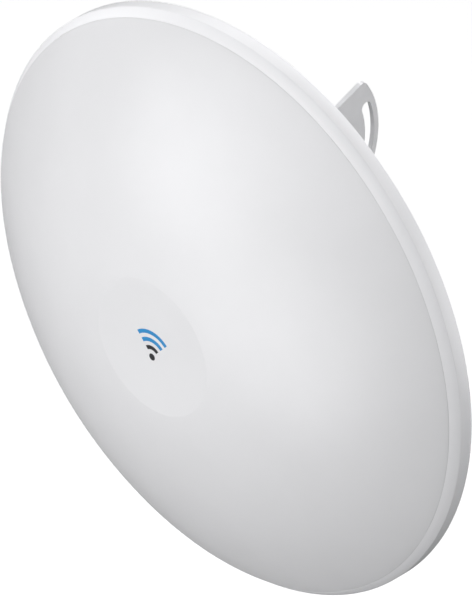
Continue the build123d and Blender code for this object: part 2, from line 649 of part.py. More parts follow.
def door_seal():
    """Soft frame on the door that seats just inside the cable bay's mouth."""
    wall = 1.4
    outer_x = HOUSING_INNER_X - 0.6
    low_z, top_z = HOUSING_LOW_Z + HOUSING_WALL + 0.6, SHELF_Z - SHELF_THICK - 0.6
    y0, y1 = HOUSING_BACK_Y - 1.6, DOOR_FACE_Y
    seal = block(-outer_x, outer_x, y0, y1, low_z, top_z, 3)
    inner_x = outer_x - wall
    seal -= block(-inner_x, inner_x, y0 - PAST, y1 + PAST, low_z + wall, top_z - wall, 1.8)
    notch_x = KEEPER_HALF_X + LATCH_CLEAR
    return seal - block(-notch_x, notch_x, KEEPER_FRONT_Y - 0.2, y1 + PAST, low_z + wall, top_z + PAST)


def door_latch():
    """Thumb slider on the door: a keeper plate holds it, its tongue reaches up behind the rear cover."""
    pad = block(-PAD_HALF_X, PAD_HALF_X, PAD_FRONT_Y, LID_BACK_Y - 0.2, PAD_LOW_Z, PAD_TOP_Z)
    for i in range(3):
        z = PAD_LOW_Z + 1.4 + 2.2 * i
        pad += block(-5, 5, LID_BACK_Y - 0.3, LID_BACK_Y + 0.5, z - 0.4, z + 0.4)
    neck = block(-NECK_HALF_X, NECK_HALF_X, KEEPER_FRONT_Y, PAD_FRONT_Y + 0.1, NECK_LOW_Z, PAD_TOP_Z)
    keeper = block(-KEEPER_HALF_X, KEEPER_HALF_X, KEEPER_FRONT_Y, KEEPER_BACK_Y, NECK_LOW_Z, PAD_TOP_Z)
    tongue_z = (NECK_LOW_Z, DOOR_TOP_Z + TONGUE_REACH)
    return pad + neck + keeper + block(-NECK_HALF_X, NECK_HALF_X, KEEPER_FRONT_Y, KEEPER_BACK_Y, *tongue_z)


# ---------------------------------------------------------------- dish bracket


def polar(radius, angle):
    """A point (y, z) about the tilt pivot."""
    return (PIVOT_Y + radius * cos(radians(angle)), PIVOT_Z + radius * sin(radians(angle)))


def plate_x(sketch, x0, x1):
    """A flat plate from a sketch in Y and Z, between two values of X."""
    return extrude(Plane.YZ.offset(x0) * sketch, x1 - x0)


def bend_corner(x, y, plate, z0, z1):
    """Quarter-round bend that joins a plate facing -X to one facing -Y; (x, y) is its centre."""
    outer_r = BEND_INNER_R + plate
    quarter = Pos(x - outer_r / 2, y - outer_r / 2) * Rectangle(outer_r, outer_r)
    section = Pos(x, y) * (Circle(outer_r) - Circle(BEND_INNER_R)) & quarter
    return extrude(Pos(0, 0, z0) * section, z1 - z0)


def ear_face():
    """The ear's outline with its curved slot and the pivot's hole; the plate's foot is at the bend."""
    bend_y = BASE_BACK_Y + BEND_INNER_R
    top_y, top_z = polar(EAR_R, EAR_TOP_ANGLE)
    foot_top_z = top_z - (top_y - bend_y) * tan(radians(EAR_TOP_SLOPE))
    arc_angles = (EAR_LOW_ANGLE, (EAR_LOW_ANGLE + EAR_TOP_ANGLE) / 2, EAR_TOP_ANGLE)
    outline = [
        Line((bend_y, EAR_FOOT_Z), polar(EAR_R, EAR_LOW_ANGLE)),
        ThreePointArc(*[polar(EAR_R, angle) for angle in arc_angles]),
        Line((top_y, top_z), (bend_y, foot_top_z)),
        Line((bend_y, foot_top_z), (bend_y, EAR_FOOT_Z)),
    ]
    face = make_face(outline)
    face = fillet([v for v in face.vertices() if v.X > bend_y + PAST], EAR_CORNER_R)
    slot = CenterArc((PIVOT_Y, PIVOT_Z), SLOT_R, SLOT_LOW_ANGLE, SLOT_TOP_ANGLE - SLOT_LOW_ANGLE)
    face = face - SlotArc(slot, SLOT_WIDTH) - Pos(PIVOT_Y, PIVOT_Z) * Circle(M10_R + EAR_BOLT_FIT)
    return face, foot_top_z


def dish_bracket():
    """Bent plate: base on the hub, one ear beside the housing with the curved tilt slot."""
    face, foot_top_z = ear_face()
    ear = plate_x(face, EAR_X - EAR_PLATE, EAR_X)
    bend_x = EAR_X + BEND_INNER_R
    bend = bend_corner(bend_x, BASE_BACK_Y + BEND_INNER_R, EAR_PLATE, EAR_FOOT_Z, foot_top_z)
    base = block(bend_x, BASE_RIGHT_X, HUB_BACK_Y, BASE_BACK_Y, -BASE_HALF_Z, BASE_HALF_Z, BASE_CORNER_R)
    window_x = HOUSING_HALF_X + WINDOW_GAP
    through = (HUB_BACK_Y - PAST, BASE_BACK_Y + PAST)
    window = block(-window_x, window_x, *through, WINDOW_LOW_Z, HOUSING_TOP_Z + WINDOW_GAP, 7)
    bracket = ear + bend + base - window
    bracket -= holes_y(M8_R + HUB_BOLT_FIT, *through, HUB_POINTS)
    return bracket - rod("y", M5_R + SEAT, *through, GROUND_X, GROUND_Z)


def hub_bolt(x, z):
    """Carriage bolt: domed head inside the dish, threaded end behind the bracket."""
    head = rod("y", M8_DOME_R, HUB_FRONT_Y - 4, HUB_FRONT_Y - SEAT, x, z)
    shank = rod("y", M8_R, HUB_FRONT_Y - 1, BASE_BACK_Y + 13, x, z)
    return round_end(head, Axis.Y, 3.2, last=False) + shank


def base_washer(x, z, outer_r, bore_r):
    washer = rod("y", outer_r, BASE_BACK_Y + SEAT, BASE_BACK_Y + WASHER, x, z)
    return washer - rod("y", bore_r, BASE_BACK_Y - PAST, BASE_BACK_Y + WASHER + PAST, x, z)


def hub_nut(x, z):
    y0 = BASE_BACK_Y + WASHER + SEAT
    nut = hexagon("y", M8_ACROSS, y0, y0 + M8_NUT, x, z)
    return nut - rod("y", M8_R + 0.03, y0 - PAST, y0 + M8_NUT + PAST, x, z)


def ground_screw():
    """Slotted hexagon screw for the earth wire."""
    y0 = BASE_BACK_Y + WASHER + SEAT
    head = hexagon("y", M5_ACROSS, y0, y0 + M5_HEAD, GROUND_X, GROUND_Z)
    slot = block(GROUND_X - 5, GROUND_X + 5, y0 + 1.4, y0 + 3.4, GROUND_Z - 0.6, GROUND_Z + 0.6)
    return head + rod("y", M5_R, HUB_BACK_Y + 0.3, y0 + 1, GROUND_X, GROUND_Z) - slot


# ---------------------------------------------------------------- pole bracket and clamp


def pole_bracket():
    """Bent plate: web beside the ear with the two tilt bolt holes, flange across the pole."""
    lock_y, lock_z = polar(SLOT_R, LOCK_ANGLE)
    low_z, high_z = CLAMP_Z - FLANGE_HALF_Z, CLAMP_Z + FLANGE_HALF_Z
    bend_x, bend_y = WEB_X + BEND_INNER_R, FLANGE_Y + WEB_PLATE + BEND_INNER_R
    foot_z, foot_y = high_z + 12, bend_y + 22
    discs = [(PIVOT_Y, PIVOT_Z, 15), (lock_y, lock_z, 13), (bend_y + 4, foot_z, 4), (foot_y - 4, foot_z, 4)]
    upper = make_hull([edge for y, z, r in discs for edge in (Pos(y, z) * Circle(r)).edges()])
    foot = [(bend_y, low_z), (bend_y + 12, low_z), (foot_y, low_z + 20), (foot_y, foot_z), (bend_y, foot_z)]
    lower = Polygon(*foot, align=None)
    face = upper + lower
    for y, z in ((PIVOT_Y, PIVOT_Z), (lock_y, lock_z)):
        face -= Pos(y, z) * Circle(M10_R + WEB_BOLT_FIT)
    web = plate_x(face, WEB_X - WEB_PLATE, WEB_X)
    bend = bend_corner(bend_x, bend_y, WEB_PLATE, low_z, high_z)
    flange = block(bend_x, FLANGE_RIGHT_X, FLANGE_Y, FLANGE_Y + WEB_PLATE, low_z, high_z)
    flange = fillet([e for e in flange.edges().filter_by(Axis.Y) if e.center().X > 0], FLANGE_CORNER_R)
    bracket = web + bend + flange
    half, through = SQUARE_HOLE_HALF, (FLANGE_Y - PAST, FLANGE_Y + WEB_PLATE + PAST)
    return bracket - [block(x - half, x + half, *through, z - half, z + half) for x, z in CLAMP_POINTS]


def half_jaw(depth):
    """Half clamp on the pole's +Y side, its mouth an arc of the pole's surface."""
    half = radians(JAW_ARC_HALF_ANGLE)
    mouth_x, mouth_y = POLE_R * sin(half), POLE_R * cos(half)
    arc = ThreePointArc((-mouth_x, mouth_y), (0, POLE_R), (mouth_x, mouth_y))
    back = Polyline(
        (mouth_x, mouth_y),
        (mouth_x + 4, mouth_y),
        (JAW_HALF_X, depth - JAW_SHOULDER),
        (JAW_HALF_X, depth),
        (-JAW_HALF_X, depth),
        (-JAW_HALF_X, depth - JAW_SHOULDER),
        (-mouth_x - 4, mouth_y),
        (-mouth_x, mouth_y),
    )
    face = make_face([*arc.edges(), *back.edges()])
    return extrude(face, JAW_HALF_Z, both=True)


def clamp_bores(radius, y0, y1):
    return holes_y(radius, y0, y1, corners(CLAMP_BOLT_X, CLAMP_BOLT_Z))


def fixed_jaw():
    """Plain half clamp against the bracket's flange."""
    jaw = half_jaw(FIXED_JAW_DEPTH) - clamp_bores(M8_R + 0.2, 0, FIXED_JAW_DEPTH + PAST)
    return Pos(POLE_X, POLE_Y, CLAMP_Z) * mirror(jaw, Plane.XZ)


def moving_jaw():
    """Half clamp under the nuts, lightened by three pockets that open to the pole."""
    jaw = half_jaw(MOVING_JAW_DEPTH)
    pocket_x = JAW_HALF_X - 4
    pocket_y = (POLE_R * cos(radians(JAW_ARC_HALF_ANGLE)) - PAST, MOVING_JAW_DEPTH - 3)
    for z in (-POCKET_PITCH, 0, POCKET_PITCH):
        jaw -= block(-pocket_x, pocket_x, *pocket_y, z - POCKET_HEIGHT / 2, z + POCKET_HEIGHT / 2)
    jaw -= clamp_bores(M8_R + 0.3, 0, MOVING_JAW_DEPTH + PAST)
    return Pos(POLE_X, POLE_Y, CLAMP_Z) * jaw


def clamp_bolt(x, z):
    """Carriage bolt through the flange and both jaws, its square neck in the flange."""
    head = rod("y", 9, FLANGE_Y - 4.4, FLANGE_Y - SEAT, x, z)
    neck = block(x - M8_R, x + M8_R, FLANGE_Y - PAST, FLANGE_Y + 4.2, z - M8_R, z + M8_R)
    shank = rod("y", M8_R, FLANGE_Y, CLAMP_BOLT_TIP_Y, x, z)
    tip = shank.edges().filter_by(GeomType.CIRCLE).sort_by(Axis.Y)[-1]
    return round_end(head, Axis.Y, 3.6, last=False) + neck + chamfer(tip, 0.8)


def clamp_nut(x, z):
    """Flanged nut, free to run along its bolt."""
    y0 = POLE_Y + MOVING_JAW_DEPTH + SEAT
    nut = rod("y", 8.7, y0, y0 + 1.8, x, z) + hexagon("y", M8_ACROSS, y0 + 1, y0 + 8, x, z)
    return nut - rod("y", M8_R + 0.06, y0 - PAST, y0 + 10, x, z)


def tilt_bolt(y, z):
    """Hexagon bolt along X with its head on the ear's side."""
    head_x = EAR_X + 0.2 + M10_WASHER + SEAT
    head = hexagon("x", M10_ACROSS, head_x, head_x + M10_HEAD, y, z)
    shank = rod("x", M10_R, WEB_X - WEB_PLATE - M10_TAIL, head_x + PAST, y, z)
    tip = shank.edges().filter_by(GeomType.CIRCLE).sort_by(Axis.X)[0]
    return head + chamfer(tip, 1)


def tilt_washers(y, z):
    """One washer under the head and one under the nut."""
    web_side = WEB_X - WEB_PLATE - SEAT
    spans = ((EAR_X + 0.2, EAR_X + 0.2 + M10_WASHER), (web_side - M10_WASHER, web_side))
    washers = []
    for x0, x1 in spans:
        bore = rod("x", M10_R + 0.1, x0 - PAST, x1 + PAST, y, z)
        washers.append(rod("x", M10_WASHER_R, x0, x1, y, z) - bore)
    return washers


def tilt_nut(y, z):
    x1 = WEB_X - WEB_PLATE - M10_WASHER - 2 * SEAT
    nut = hexagon("x", M10_ACROSS, x1 - M10_NUT, x1, y, z)
    return nut - rod("x", M10_R + 0.03, x1 - M10_NUT - PAST, x1 + PAST, y, z)


os.makedirs("parts", exist_ok=True)

save("radome", radome())
save("retaining_ring", retaining_ring())
save("rim_gasket", rim_gasket())
save("rim_screws", *[rim_screw(x, z) for x, z in RIM_POINTS])

save("reflector", reflector())
save("feed_tube", feed_tube())
save("feed_oring", feed_oring())
save("feed_screws", *[feed_screw(x, z) for x, z in FEED_POINTS])
save("feed_cone", feed_cone())
save("subreflector", subreflector())

save("housing_base", housing_base())
save("rear_cover", rear_cover())
save("cover_screws", *[cover_screw(x, z) for x, z in COVER_POINTS])
save("cover_seal", cover_seal())
save("radio_board", radio_board())
save("rf_shield", rf_shield())
save("waveguide_launcher", waveguide_launcher())
save("thermal_pad", thermal_pad())
save("ethernet_jack", ethernet_jack())
save("reset_switch", reset_switch())
save("reset_button", reset_button())
save("light_pipes", *[light_pipe(x, z) for x, z in LAMP_POINTS])
save("breather_vent", breather_vent())
save("cable_grommet", cable_grommet())

save("port_door", port_door())
save("door_seal", door_seal())
save("door_latch", door_latch())
pin_x = DOOR_LUG_X + DOOR_LUG_HALF
save("door_pin", rod("x", DOOR_PIN_R, -pin_x, pin_x, DOOR_PIN_Y, DOOR_PIN_Z))

save("dish_bracket", dish_bracket())
save("hub_bolts", *[hub_bolt(x, z) for x, z in HUB_POINTS])
save("hub_washers", *[base_washer(x, z, M8_WASHER_R, M8_R + 0.2) for x, z in HUB_POINTS])
save("hub_nuts", *[hub_nut(x, z) for x, z in HUB_POINTS])
save("ground_screw", ground_screw())
save("ground_washer", base_washer(GROUND_X, GROUND_Z, M5_WASHER_R, M5_R + 0.25))

lock_point = polar(SLOT_R, LOCK_ANGLE)
save("pole_bracket", pole_bracket())
save("pivot_bolt", tilt_bolt(PIVOT_Y, PIVOT_Z))
save("pivot_washers", *tilt_washers(PIVOT_Y, PIVOT_Z))
save("pivot_nut", tilt_nut(PIVOT_Y, PIVOT_Z))
save("lock_bolt", tilt_bolt(*lock_point))
save("lock_washers", *tilt_washers(*lock_point))
save("lock_nut", tilt_nut(*lock_point))
save("fixed_jaw", fixed_jaw())
save("moving_jaw", moving_jaw())
save("clamp_bolts", *[clamp_bolt(x, z) for x, z in CLAMP_POINTS])
save("clamp_nuts", *[clamp_nut(x, z) for x, z in CLAMP_POINTS])
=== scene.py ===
import json
import math

import bmesh
import bpy
from mathutils import Matrix, Vector


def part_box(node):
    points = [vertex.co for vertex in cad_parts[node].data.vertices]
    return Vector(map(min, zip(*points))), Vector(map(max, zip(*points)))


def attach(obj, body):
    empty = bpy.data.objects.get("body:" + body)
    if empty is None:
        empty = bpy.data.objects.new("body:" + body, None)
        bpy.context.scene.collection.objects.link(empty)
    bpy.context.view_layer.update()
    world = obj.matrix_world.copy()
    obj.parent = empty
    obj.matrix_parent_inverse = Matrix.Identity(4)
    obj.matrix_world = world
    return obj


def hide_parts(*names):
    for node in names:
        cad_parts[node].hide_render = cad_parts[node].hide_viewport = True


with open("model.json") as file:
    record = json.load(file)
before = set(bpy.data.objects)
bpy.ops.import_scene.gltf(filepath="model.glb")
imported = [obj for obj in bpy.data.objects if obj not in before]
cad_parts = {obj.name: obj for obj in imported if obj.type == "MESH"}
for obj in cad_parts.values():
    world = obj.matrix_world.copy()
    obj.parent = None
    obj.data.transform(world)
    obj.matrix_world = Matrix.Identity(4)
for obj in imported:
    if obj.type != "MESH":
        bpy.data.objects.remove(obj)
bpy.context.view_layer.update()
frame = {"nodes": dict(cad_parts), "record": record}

# ------------------------------------------------------------------ places and sizes, in metres
MM = 0.001
ring_low, ring_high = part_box("retaining_ring")
radome_low, radome_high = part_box("radome")
bracket_low, bracket_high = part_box("dish_bracket")
reflector_low, reflector_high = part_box("reflector")

RING_SETBACK = 0.1 * MM
RIM_R = (ring_high.x - ring_low.x) / 2
EDGE_Y = ring_low.y - RING_SETBACK
DISH = Vector(((ring_low.x + ring_high.x) / 2, EDGE_Y, (ring_low.z + ring_high.z) / 2))
APEX_Y = radome_low.y - EDGE_Y
RIM_BACK_Y = ring_high.y - EDGE_Y
FLANGE_R = (radome_high.x - radome_low.x) / 2
HUB_BACK_Y = reflector_high.y - EDGE_Y
FLANGE_FRONT_Y = reflector_low.y - EDGE_Y

DOME_R = 316.9 * MM
APEX_R = 76.6 * MM
DOME_WALL = 3.0 * MM
SLOPE_BACK_Y = 9.75 * MM
SKIRT_WALL = 2.7 * MM
RING_SEAT_Y = 9.9 * MM
RING_GAP = 0.1 * MM
FLANGE_GAP = 0.05 * MM
SHEET = 2.0 * MM
HUB_R = 100.0 * MM
HUB_HOLE_R = 20.0 * MM
APERTURE_R = 308.0 * MM
LATHE_STEPS = 288
PRINT = 0.04 * MM  # half of the printed mark's thickness


# ------------------------------------------------------------------ mesh helpers


def make_object(name, vertices, faces, sharp_degrees=32):
    """A mesh object with clean normals, smooth except at real edges."""
    mesh = bpy.data.meshes.new(name)
    mesh.from_pydata([tuple(v) for v in vertices], [], faces)
    work = bmesh.new()
    work.from_mesh(mesh)
    bmesh.ops.remove_doubles(work, verts=work.verts, dist=1e-7)
    bmesh.ops.recalc_face_normals(work, faces=work.faces)
    work.to_mesh(mesh)
    work.free()
    mesh.shade_smooth()
    mesh.set_sharp_from_angle(angle=math.radians(sharp_degrees))
    item = bpy.data.objects.new(name, mesh)
    bpy.context.scene.collection.objects.link(item)
    return item


def rounded(points, radii, steps=4):
    """A closed outline whose corners are replaced by arcs of the given radii."""
    out = []
    count = len(points)
    for i, radius in enumerate(radii):
        here = Vector(points[i])
        before, after = Vector(points[i - 1]), Vector(points[(i + 1) % count])
        if radius == 0:
            out.append(tuple(here))
            continue
        a, b = (before - here).normalized(), (after - here).normalized()
        half = a.angle(b) / 2
        reach = radius / math.tan(half)
        centre = here + (a + b).normalized() * radius / math.sin(half)
        start, end = here + a * reach - centre, here + b * reach - centre
        turn = start.angle_signed(end)
        for k in range(steps + 1):
            part = -turn * k / steps
            c, s = math.cos(part), math.sin(part)
            out.append((centre.x + c * start.x - s * start.y, centre.y + s * start.x + c * start.y))
    return out


def lathe(name, outline):
    """Turns a closed outline of (radius, y) about the boresight."""
    vertices, faces = [], []
    count = len(outline)
    for k in range(LATHE_STEPS):
        angle = 2 * math.pi * k / LATHE_STEPS
        c, s = math.cos(angle), math.sin(angle)
        vertices += [(DISH.x + r * c, DISH.y + y, DISH.z + r * s) for r, y in outline]
    for k in range(LATHE_STEPS):
        a, b = k * count, ((k + 1) % LATHE_STEPS) * count
        for i in range(count):
            j = (i + 1) % count
            if outline[i][0] < 1e-9 and outline[j][0] < 1e-9:
                continue
            faces.append((a + i, a + j, b + j, b + i))
    return make_object(name, vertices, faces)


def carry(item, body, slot, *nodes):
    """The piece rides on its body and stands for its CAD nodes; the slot argument is not used."""
    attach(item, body)
    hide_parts(*nodes)
    return item


# ------------------------------------------------------------------ materials


def shader(name, color, roughness, metallic=0.0, **sockets):
    """A material with its main values on the shader's own sockets."""
    material = bpy.data.materials.new(name)
    material.use_nodes = True
    principled = material.node_tree.nodes["Principled BSDF"]
    principled.inputs["Base Color"].default_value = (*color, 1)
    principled.inputs["Roughness"].default_value = roughness
    principled.inputs["Metallic"].default_value = metallic
    for socket, value in sockets.items():
        principled.inputs[socket.replace("_", " ")].default_value = value
    return material


def noise(material, scale, detail=3.0, stretch=(1, 1, 1)):
    """Noise over the object's own coordinates; gives its value socket."""
    nodes, links = material.node_tree.nodes, material.node_tree.links
    coords = nodes.new("ShaderNodeTexCoord")
    mapping = nodes.new("ShaderNodeMapping")
    mapping.inputs["Scale"].default_value = stretch
    texture = nodes.new("ShaderNodeTexNoise")
    texture.inputs["Scale"].default_value = scale
    texture.inputs["Detail"].default_value = detail
    links.new(coords.outputs["Object"], mapping.inputs["Vector"])
    links.new(mapping.outputs["Vector"], texture.inputs["Vector"])
    return texture.outputs["Fac"]


def bump(material, height, distance):
    """Adds a bump on top of any bump that the shader already has."""
    nodes, links = material.node_tree.nodes, material.node_tree.links
    principled = nodes["Principled BSDF"]
    node = nodes.new("ShaderNodeBump")
    node.inputs["Distance"].default_value = distance
    links.new(height, node.inputs["Height"])
    for link in list(principled.inputs["Normal"].links):
        links.new(link.from_socket, node.inputs["Normal"])
    links.new(node.outputs["Normal"], principled.inputs["Normal"])


def vary_roughness(material, value, low, high):
    """Spreads a value over a range of roughness."""
    nodes, links = material.node_tree.nodes, material.node_tree.links
    node = nodes.new("ShaderNodeMapRange")
    node.inputs["To Min"].default_value = low
    node.inputs["To Max"].default_value = high
    links.new(value, node.inputs["Value"])
    links.new(node.outputs["Result"], nodes["Principled BSDF"].inputs["Roughness"])


def vary_color(material, value, first, second, low=0.35, high=0.65):
    """Blends two base colours by a value."""
    nodes, links = material.node_tree.nodes, material.node_tree.links
    ramp = nodes.new("ShaderNodeValToRGB")
    ramp.color_ramp.elements[0].position = low
    ramp.color_ramp.elements[0].color = (*first, 1)
    ramp.color_ramp.elements[1].position = high
    ramp.color_ramp.elements[1].color = (*second, 1)
    links.new(value, ramp.inputs["Fac"])
    links.new(ramp.outputs["Color"], nodes["Principled BSDF"].inputs["Base Color"])


def plastic(name, color, roughness, grain=2600, depth=0.02 * MM):
    """Moulded plastic: fine spark-eroded grain, slight flow mottling in colour and gloss."""
    material = shader(name, color, roughness)
    darker = tuple(c * 0.975 for c in color)
    vary_color(material, noise(material, 9, 4), darker, color)
    vary_roughness(material, noise(material, 30), roughness - 0.05, roughness + 0.06)
    bump(material, noise(material, grain, 2), depth)
    return material


def powder_coat(name, color, roughness=0.42, metallic=0.0):
    """Baked powder: orange-peel waves with a finer grain on top."""
    material = shader(name, color, roughness, metallic, Coat_Weight=0.12, Coat_Roughness=0.25)
    darker = tuple(c * 0.96 for c in color)
    vary_color(material, noise(material, 40, 5), darker, color)
    bump(material, noise(material, 420, 2), 0.05 * MM)
    bump(material, noise(material, 2200, 1), 0.012 * MM)
    return material


def plated(name, color, roughness, tint):
    """Zinc plate: metallic with a faint patchy passivation colour and fine drawn lines."""
    material = shader(name, color, roughness, metallic=1.0)
    vary_color(material, noise(material, 160, 5), tint, color)
    vary_roughness(material, noise(material, 600), roughness - 0.08, roughness + 0.12)
    bump(material, noise(material, 1800, 2), 0.01 * MM)
    return material


def cast(name, color):
    """Tumbled die casting."""
    material = shader(name, color, 0.5, metallic=0.9)
    vary_color(material, noise(material, 220, 6), tuple(c * 0.82 for c in color), color)
    vary_roughness(material, noise(material, 90), 0.42, 0.62)
    bump(material, noise(material, 900, 3), 0.05 * MM)
    return material


def rubber(name, color=(0.018, 0.018, 0.019)):
    """Moulded rubber or silicone, matt and finely grained."""
    material = shader(name, color, 0.75)
    bump(material, noise(material, 1500, 2), 0.02 * MM)
    vary_roughness(material, noise(material, 120), 0.66, 0.86)
    return material


def turned_metal(name, color, roughness=0.3):
    """Lathe-turned alloy: rings of tool marks along Y."""
    material = shader(name, color, roughness, metallic=1.0)
    bump(material, noise(material, 60, 2, stretch=(0.2, 60, 0.2)), 0.01 * MM)
    vary_roughness(material, noise(material, 200), roughness - 0.06, roughness + 0.1)
    return material


MATERIALS = {
    "radome_white": plastic("radome_plastic", (0.70, 0.70, 0.703), 0.36),
    "ring_white": plastic("ring_plastic", (0.855, 0.855, 0.86), 0.38),
    "painted_steel": powder_coat("bracket_powder", (0.84, 0.84, 0.845), 0.36, 0.2),
    "reflector_paint": powder_coat("reflector_powder", (0.78, 0.785, 0.79), 0.4),
    "zinc": plated("zinc_plate", (0.66, 0.67, 0.68), 0.32, (0.60, 0.60, 0.56)),
    "stainless": plated("stainless", (0.60, 0.59, 0.58), 0.26, (0.52, 0.52, 0.51)),
    "cast_alloy": cast("cast_alloy", (0.60, 0.61, 0.62)),
    "feed_alloy": turned_metal("feed_alloy", (0.78, 0.78, 0.79)),
    "feed_plastic": plastic("feed_plastic", (0.84, 0.83, 0.79), 0.4, 900),
    "housing_white": plastic("housing_plastic", (0.76, 0.765, 0.77), 0.48, 1400, 0.05 * MM),
    "housing_grey": plastic("latch_plastic", (0.16, 0.165, 0.175), 0.5, 1400, 0.04 * MM),
    "seal_black": rubber("seal_rubber"),
    "tinned": plated("tinned_sheet", (0.72, 0.71, 0.68), 0.35, (0.62, 0.61, 0.58)),
    "pad_grey": rubber("thermal_silicone", (0.18, 0.19, 0.24)),
    "button_red": plastic("button_plastic", (0.42, 0.03, 0.025), 0.4, 1200),
    "switch_black": plastic("switch_plastic", (0.02, 0.02, 0.022), 0.45, 1200),
    "clear_light": shader("light_pipe", (0.9, 0.95, 0.95), 0.18, Transmission_Weight=0.85),
    "board_green": shader("solder_mask", (0.01, 0.10, 0.035), 0.32, Coat_Weight=0.4),
}


def finish_board(material):
    """Copper tracks under the mask on the board's faces, black mouldings above it."""
    nodes, links = material.node_tree.nodes, material.node_tree.links
    coords = nodes.new("ShaderNodeTexCoord")
    brick = nodes.new("ShaderNodeTexBrick")
    brick.inputs["Scale"].default_value = 260
    brick.inputs["Color1"].default_value = (0.012, 0.11, 0.04, 1)
    brick.inputs["Color2"].default_value = (0.008, 0.085, 0.03, 1)
    brick.inputs["Mortar"].default_value = (0.03, 0.2, 0.08, 1)
    turn = nodes.new("ShaderNodeMapping")
    turn.inputs["Rotation"].default_value = (math.radians(90), 0, 0)
    links.new(coords.outputs["Object"], turn.inputs["Vector"])
    links.new(turn.outputs["Vector"], brick.inputs["Vector"])
    split = nodes.new("ShaderNodeSeparateXYZ")
    links.new(coords.outputs["Object"], split.inputs["Vector"])
    above = nodes.new("ShaderNodeMath")
    above.operation = "GREATER_THAN"
    above.inputs[1].default_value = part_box("radio_board")[1].y - 1.2 * MM
    links.new(split.outputs["Y"], above.inputs[0])
    mix = nodes.new("ShaderNodeMix")
    mix.data_type = "RGBA"
    mix.inputs["B"].default_value = (0.012, 0.012, 0.013, 1)
    links.new(above.outputs["Value"], mix.inputs["Factor"])
    links.new(brick.outputs["Color"], mix.inputs["A"])
    links.new(mix.outputs["Result"], nodes["Principled BSDF"].inputs["Base Color"])


finish_board(MATERIALS["board_green"])
bump(MATERIALS["clear_light"], noise(MATERIALS["clear_light"], 900), 0.01 * MM)

for subpart in frame["record"]["subparts"]:
    node = frame["nodes"][subpart["node"]]
    node.data.materials.clear()
    node.data.materials.append(MATERIALS[subpart["material_slot"]])


def dress(item, slot):
    """Gives a piece the one material of its slot."""
    item.data.materials.clear()
    item.data.materials.append(MATERIALS[slot])
    return item


def soften(node_name, width, segments=2):
    """Joins a CAD node's split corners, merges its flat facets, rounds its edges, keeps faces flat."""
    item = frame["nodes"][node_name]
    weld = item.modifiers.new("weld", "WELD")
    weld.merge_threshold = 0.002 * MM
    flatten = item.modifiers.new("flatten", "DECIMATE")
    flatten.decimate_type = "DISSOLVE"
    flatten.angle_limit = math.radians(0.6)
    edge = item.modifiers.new("edge", "BEVEL")
    edge.width = width
    edge.segments = segments
    edge.limit_method = "ANGLE"
    edge.angle_limit = math.radians(40)
    normals = item.modifiers.new("normals", "WEIGHTED_NORMAL")
    normals.keep_sharp = True
    normals.weight = 100
    item.data.shade_smooth()
    return item


# ------------------------------------------------------------------ radome, ring and reflector


def cap_points(sphere_r, centre_y, r0, r1, steps):
    """Points along a sphere's front from one radius to another."""
    radii = [r0 + (r1 - r0) * i / steps for i in range(steps + 1)]
    return [(r, centre_y - math.sqrt(sphere_r**2 - r**2)) for r in radii]


def build_radome():
    """Domed cover with a soft-edged flat centre and its clamping flange."""
    centre_y = (DOME_R**2 - APEX_R**2 - APEX_Y**2) / (-2 * APEX_Y)
    sphere_r = math.hypot(DOME_R, centre_y)
    inner_r = sphere_r - DOME_WALL
    wall_r = DOME_R - DOME_WALL
    flat_y = APEX_Y + PRINT
    flat_r = math.sqrt(sphere_r**2 - (centre_y - flat_y) ** 2)
    apex_in_y = APEX_Y + DOME_WALL
    apex_in_r = math.sqrt(inner_r**2 - (centre_y - apex_in_y) ** 2)
    flange_back = radome_high.y - EDGE_Y
    step_y = RING_SEAT_Y + FLANGE_GAP
    outer = cap_points(sphere_r, centre_y, flat_r, DOME_R, 44)
    inner = cap_points(inner_r, centre_y, wall_r, apex_in_r, 30)
    edge = [
        (DOME_R, step_y),
        (FLANGE_R, step_y),
        (FLANGE_R, flange_back),
        (wall_r, flange_back),
    ]
    outline = outer + edge + inner + [(0, apex_in_y), (0, flat_y)]
    radii = [0] * len(outline)
    radii[0] = 1.2 * MM
    radii[len(outer) - 1] = 0.15 * MM
    return lathe("radome_shell", rounded(outline, radii))


def build_ring():
    """Sloped nose and skirt with softened edges."""
    lip = DOME_R + RING_GAP
    outline = [
        (lip, RING_SETBACK),
        (RIM_R, SLOPE_BACK_Y),
        (RIM_R, RIM_BACK_Y),
        (RIM_R - SKIRT_WALL, RIM_BACK_Y),
        (RIM_R - SKIRT_WALL, RING_SEAT_Y),
        (lip, RING_SEAT_Y),
    ]
    radii = [0.12 * MM, 1.2 * MM, 0.6 * MM, 0.6 * MM, 0.5 * MM, 0.2 * MM]
    return lathe("rim_ring", rounded(outline, radii))


def build_reflector():
    """Pressed paraboloid, with a soft step into the hub and into the rim flange."""
    hub_front = HUB_BACK_Y - SHEET
    k = (hub_front - FLANGE_FRONT_Y) / (APERTURE_R**2 - HUB_R**2)
    vertex = hub_front + k * HUB_R**2
    steps = 40
    radii = [HUB_R + (APERTURE_R - HUB_R) * i / steps for i in range(steps + 1)]
    front = [(r, vertex - k * r * r) for r in radii]
    flange = [(FLANGE_R, FLANGE_FRONT_Y), (FLANGE_R, FLANGE_FRONT_Y + SHEET)]
    back = [(r, y + SHEET) for r, y in reversed(front)]
    hub = [(HUB_HOLE_R, HUB_BACK_Y), (HUB_HOLE_R, hub_front)]
    outline = front + flange + back + hub
    corner = [0] * len(outline)
    cut_r, bend_r = 0.6 * MM, 1.2 * MM
    for i in (len(front), len(front) + 1, len(outline) - 1, len(outline) - 2):
        corner[i] = cut_r
    for i in (0, len(front) - 1, len(front) + len(flange), len(front) + len(flange) + len(back) - 1):
        corner[i] = bend_r
    return lathe("dish_shell", rounded(outline, corner))


